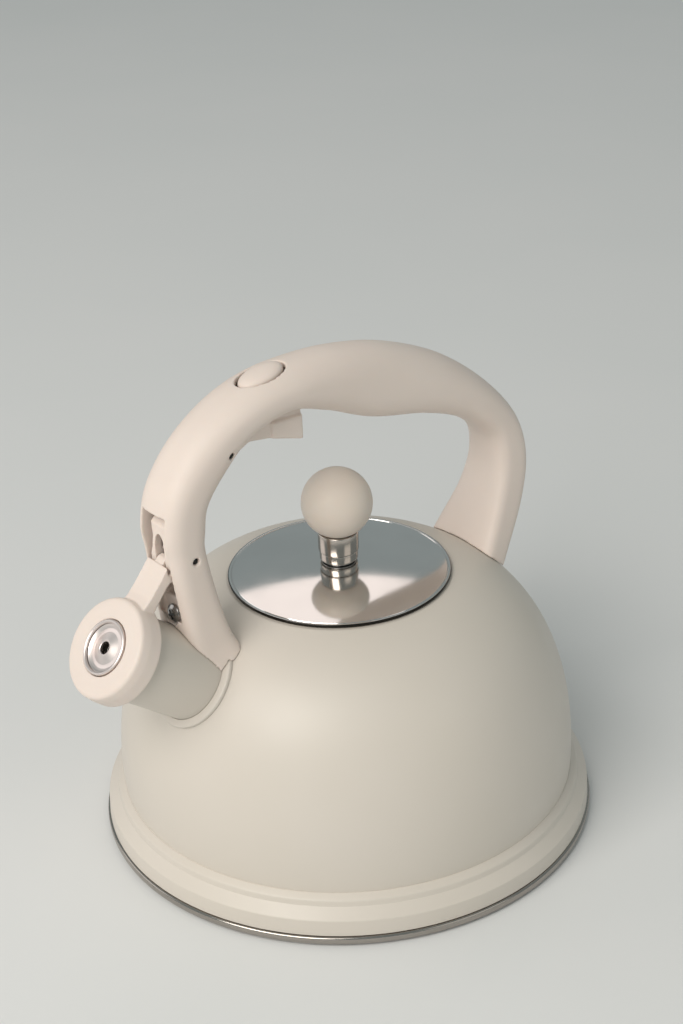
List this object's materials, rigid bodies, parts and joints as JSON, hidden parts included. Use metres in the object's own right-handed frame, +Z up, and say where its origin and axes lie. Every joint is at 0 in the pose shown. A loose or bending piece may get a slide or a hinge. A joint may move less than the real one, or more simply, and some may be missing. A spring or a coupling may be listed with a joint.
{
  "type": "stovetop whistling kettle",
  "caption": "Domed stovetop kettle with an arched handle, a lift-off lid with a ball knob, and a whistling spout cap opened by a thumb button on the handle.",
  "frame": {"origin": "centre of the underside of the base, on the axis of the dome", "axes": "+Z up along the axis of the dome; the spout points towards -X and leans up; the handle lies in the XZ plane; +Y is the mirror direction"},
  "size_m": [0.2418, 0.22, 0.223],
  "materials": {
    "enamel": "smooth cream enamel, semi-gloss",
    "nylon": "fine matt moulded nylon, warm off-white",
    "knob_nylon": "fine matt moulded ball, warm off-white",
    "polished_steel": "mirror-polished stainless steel",
    "brushed_steel": "turned and brushed stainless steel",
    "aluminium": "plain sheet",
    "spring_steel": "drawn wire",
    "screw_steel": "dark nickel-plated",
    "silicone": "food-grade silicone"
  },
  "bodies": {
    "kettle": {"body_shell": "enamel", "base_pan": "polished_steel", "heat_spreader_disc": "aluminium", "base_cap": "brushed_steel", "spout_tube": "enamel", "spout_collar": "enamel", "front_bracket": "brushed_steel", "rear_bracket": "brushed_steel", "front_screw": "screw_steel", "rear_screw": "screw_steel", "handle": "nylon", "lever_pin": "brushed_steel", "cap_pin": "brushed_steel", "lever_spring": "spring_steel", "cap_spring": "spring_steel"},
    "lever": {"trigger_lever": "nylon", "link_pin_upper": "brushed_steel"},
    "button": {"thumb_button": "nylon"},
    "link": {"pull_link": "nylon"},
    "spout_cap": {"spout_cap": "nylon", "link_pin_lower": "brushed_steel", "cap_seal": "silicone", "whistle_housing": "polished_steel", "whistle_front_disc": "polished_steel", "whistle_rear_disc": "brushed_steel"},
    "lid": {"lid_cover": "polished_steel", "lid_skirt": "brushed_steel", "knob_washer": "brushed_steel", "knob_ferrule_lower": "brushed_steel", "knob_ferrule_upper": "brushed_steel", "knob_ball": "knob_nylon", "knob_screw": "brushed_steel"}
  },
  "joints": [
    {"name": "lever_press", "type": "hinge", "parent": "kettle", "child": "lever", "pos_m": [-0.061, 0, 0.196], "axis": [0, 1, 0], "range_deg": [0, 10.9], "stiffness_Nm_per_rad": 0.4, "springref_deg": -14.32},
    {"name": "button_press", "type": "slide", "parent": "kettle", "child": "button", "axis": [0.2079, 0, -0.9781], "range_m": [0, 0.00485]},
    {"name": "link_swing", "type": "hinge", "parent": "lever", "child": "link", "pos_m": [-0.0785, 0, 0.183], "axis": [0, 1, 0], "range_deg": [-15, 0]},
    {"name": "cap_open", "type": "hinge", "parent": "kettle", "child": "spout_cap", "pos_m": [-0.0815, 0, 0.156], "axis": [0, 1, 0], "range_deg": [0, 27.6], "stiffness_Nm_per_rad": 0.2, "springref_deg": -22.92},
    {"name": "lid_lift", "type": "slide", "parent": "kettle", "child": "lid", "axis": [0, 0, 1], "range_m": [0, 0.022]}
  ],
  "couplings": [
    {"joint": "button_press", "follows": "lever_press", "m_per_rad": 0.0253},
    {"joint": "link_swing", "follows": "lever_press", "ratio": -1.369},
    {"joint": "cap_open", "follows": "lever_press", "ratio": 2.53}
  ]
}
